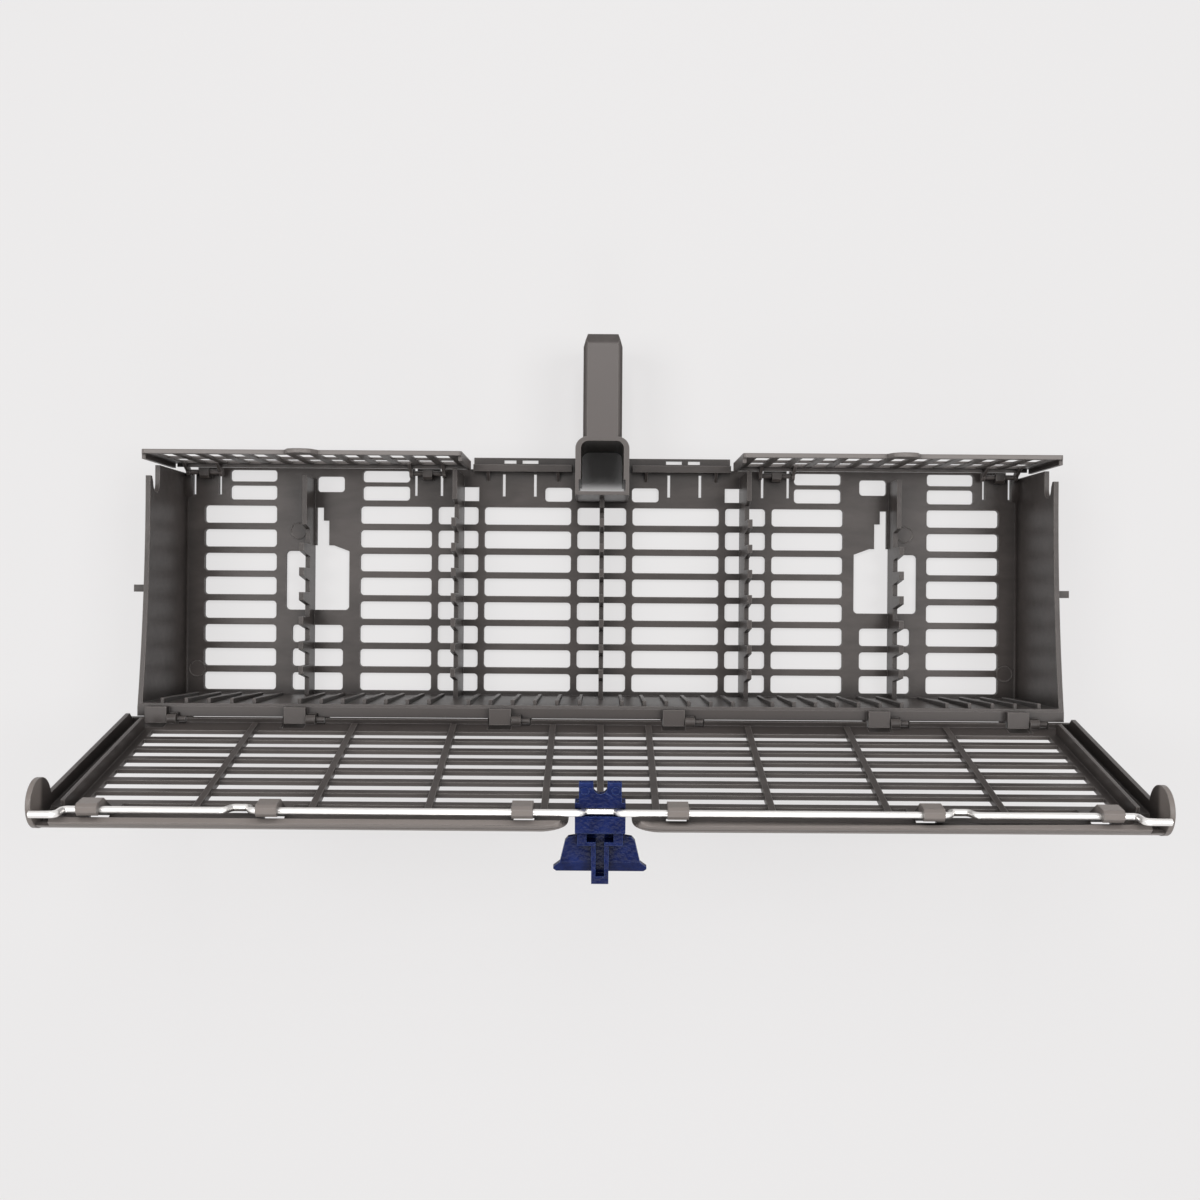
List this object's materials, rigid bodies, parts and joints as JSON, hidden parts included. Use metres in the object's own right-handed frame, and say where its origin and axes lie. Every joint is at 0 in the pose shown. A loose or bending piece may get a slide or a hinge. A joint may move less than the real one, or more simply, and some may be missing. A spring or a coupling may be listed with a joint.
{
  "type": "dishwasher_cutlery_basket",
  "caption": "Slatted grey cutlery basket that hangs inside a dishwasher door, with a hinged front door, a wire latch with a blue lever, hinged lids over its ends and a carrying handle",
  "frame": {"origin": "Middle of the back panel's rear face, which lies on the table and, in use, against the appliance door", "axes": "+X along the basket's length, +Y from its floor to its carrying handle, +Z from the back panel to the open front"},
  "size_m": [0.4736, 0.2524, 0.1955],
  "materials": {
    "grey_plastic": "fine moulded texture, semi-matt polypropylene",
    "steel_wire": "bright drawn stainless steel wire",
    "blue_plastic": "glossy moulded plastic with a fine pebbled texture"
  },
  "bodies": {
    "basket": {"tub": "grey_plastic", "handle": "grey_plastic"},
    "door": {"door": "grey_plastic"},
    "latch": {"latch_wire": "steel_wire", "latch_lever": "blue_plastic"},
    "left_lid": {"lid_left": "grey_plastic"},
    "right_lid": {"lid_right": "grey_plastic"}
  },
  "joints": [
    {"name": "door_hinge", "type": "hinge", "parent": "basket", "child": "door", "pos_m": [0, -0.061, 0.073], "axis": [1, 0, 0], "range_deg": [-110.8, 0]},
    {"name": "latch_turn", "type": "hinge", "parent": "door", "child": "latch", "pos_m": [0, -0.08746, 0.18602], "axis": [-1, 0, 0], "range_deg": [0, 50]},
    {"name": "left_lid_hinge", "type": "hinge", "parent": "basket", "child": "left_lid", "pos_m": [0, 0.0669, 0.007], "axis": [-1, 0, 0], "range_deg": [0, 88]},
    {"name": "right_lid_hinge", "type": "hinge", "parent": "basket", "child": "right_lid", "pos_m": [0, 0.0669, 0.007], "axis": [-1, 0, 0], "range_deg": [0, 88]}
  ]
}
